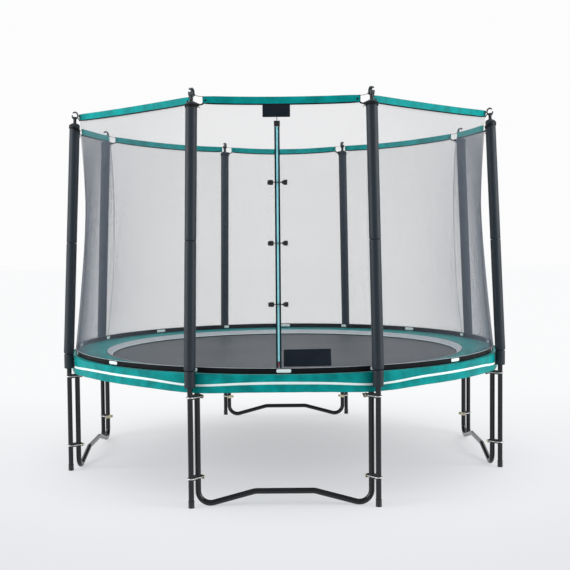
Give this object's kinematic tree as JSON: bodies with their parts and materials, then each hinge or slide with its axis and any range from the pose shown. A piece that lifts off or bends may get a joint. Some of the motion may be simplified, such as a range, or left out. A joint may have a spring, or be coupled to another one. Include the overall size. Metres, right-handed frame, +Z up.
{
  "type": "trampoline",
  "caption": "Round garden trampoline with a net enclosure on padded poles, a sprung mat under a padded rim, W-shaped legs and a zipped door with side buckles.",
  "frame": {"origin": "on the ground under the middle of the mat, at the bottom centre of the whole object", "axes": "+Z up, -Y towards the side with the zipped door, +X to the right of someone who faces the door"},
  "size_m": [3.0568, 3.0572, 2.4339],
  "materials": {
    "black_tube": "gloss black powder coat",
    "zinc": "zinc plated",
    "foam_cover": "dark slate cover over foam",
    "black_plastic": "moulded, satin",
    "brown_plastic": "moulded, satin",
    "woven_mat": "black woven polypropylene with a slight sheen",
    "black_webbing": "black webbing",
    "teal_cover": "teal coated cloth, semi gloss",
    "silver_cover": "silver grey coated cloth",
    "white_cloth": "white",
    "net_mesh": "fine see-through mesh",
    "teal_tape": "dark teal zip tape",
    "red_pull": "red brown"
  },
  "bodies": {
    "frame": {"leg_front": "black_tube", "leg_right": "black_tube", "leg_back": "black_tube", "leg_left": "black_tube", "leg_uprights": "black_tube", "top_rail": "black_tube", "rail_sockets": "black_tube", "socket_screws": "zinc", "pole_1": "black_tube", "pole_2": "black_tube", "pole_3": "black_tube", "pole_4": "black_tube", "pole_5": "black_tube", "pole_6": "black_tube", "pole_7": "black_tube", "pole_8": "black_tube", "sleeve_1": "foam_cover", "sleeve_2": "foam_cover", "sleeve_3": "foam_cover", "sleeve_4": "foam_cover", "sleeve_5": "foam_cover", "sleeve_6": "foam_cover", "sleeve_7": "foam_cover", "sleeve_8": "foam_cover", "pole_hooks": "black_plastic", "pole_feet": "black_plastic", "clamp_ubolts": "zinc", "clamp_saddles": "black_plastic", "clamp_plates": "zinc", "clamp_nuts": "zinc", "clamp_knobs": "brown_plastic", "springs": "zinc", "frame_pad": "teal_cover", "pad_border": "silver_cover", "pad_skirt": "teal_cover", "skirt_stripe": "white_cloth", "pad_straps": "black_webbing", "net_1": "net_mesh", "net_2": "net_mesh", "net_3": "net_mesh", "net_4": "net_mesh", "net_5": "net_mesh", "net_6": "net_mesh", "net_7": "net_mesh", "net_8": "net_mesh", "net_hem": "black_webbing", "hem_tabs": "white_cloth", "top_band": "teal_cover", "band_ties": "black_webbing", "band_label": "black_webbing", "zip_tape": "teal_tape", "buckle_sockets": "black_plastic"},
    "mat_bed": {"mat": "woven_mat", "mat_webbing": "black_webbing", "mat_rings": "zinc"},
    "slider": {"zip_slider": "black_plastic"},
    "pull": {"zip_pull": "red_pull"},
    "low_tongue": {"buckle_low_tongue": "black_plastic"},
    "mid_tongue": {"buckle_mid_tongue": "black_plastic"},
    "high_tongue": {"buckle_high_tongue": "black_plastic"}
  },
  "joints": [
    {"name": "mat_bounce", "type": "slide", "parent": "frame", "child": "mat_bed", "axis": [0, 0, 1], "range_m": [-0.2, 0], "stiffness_N_per_m": 5500, "springref_m": 0.02, "deforming": ["springs"]},
    {"name": "zip_slide", "type": "slide", "parent": "frame", "child": "slider", "axis": [0, 0.0943, 0.9955], "range_m": [0, 1.358]},
    {"name": "zip_pull_swing", "type": "hinge", "parent": "slider", "child": "pull", "pos_m": [-0.028, -1.50984, 0.85084], "axis": [-1, 0, 0], "range_deg": [0, 175]},
    {"name": "low_release", "type": "slide", "parent": "frame", "child": "low_tongue", "axis": [1, 0, 0], "range_m": [0, 0.018]},
    {"name": "mid_release", "type": "slide", "parent": "frame", "child": "mid_tongue", "axis": [1, 0, 0], "range_m": [0, 0.018]},
    {"name": "high_release", "type": "slide", "parent": "frame", "child": "high_tongue", "axis": [1, 0, 0], "range_m": [0, 0.018]}
  ]
}
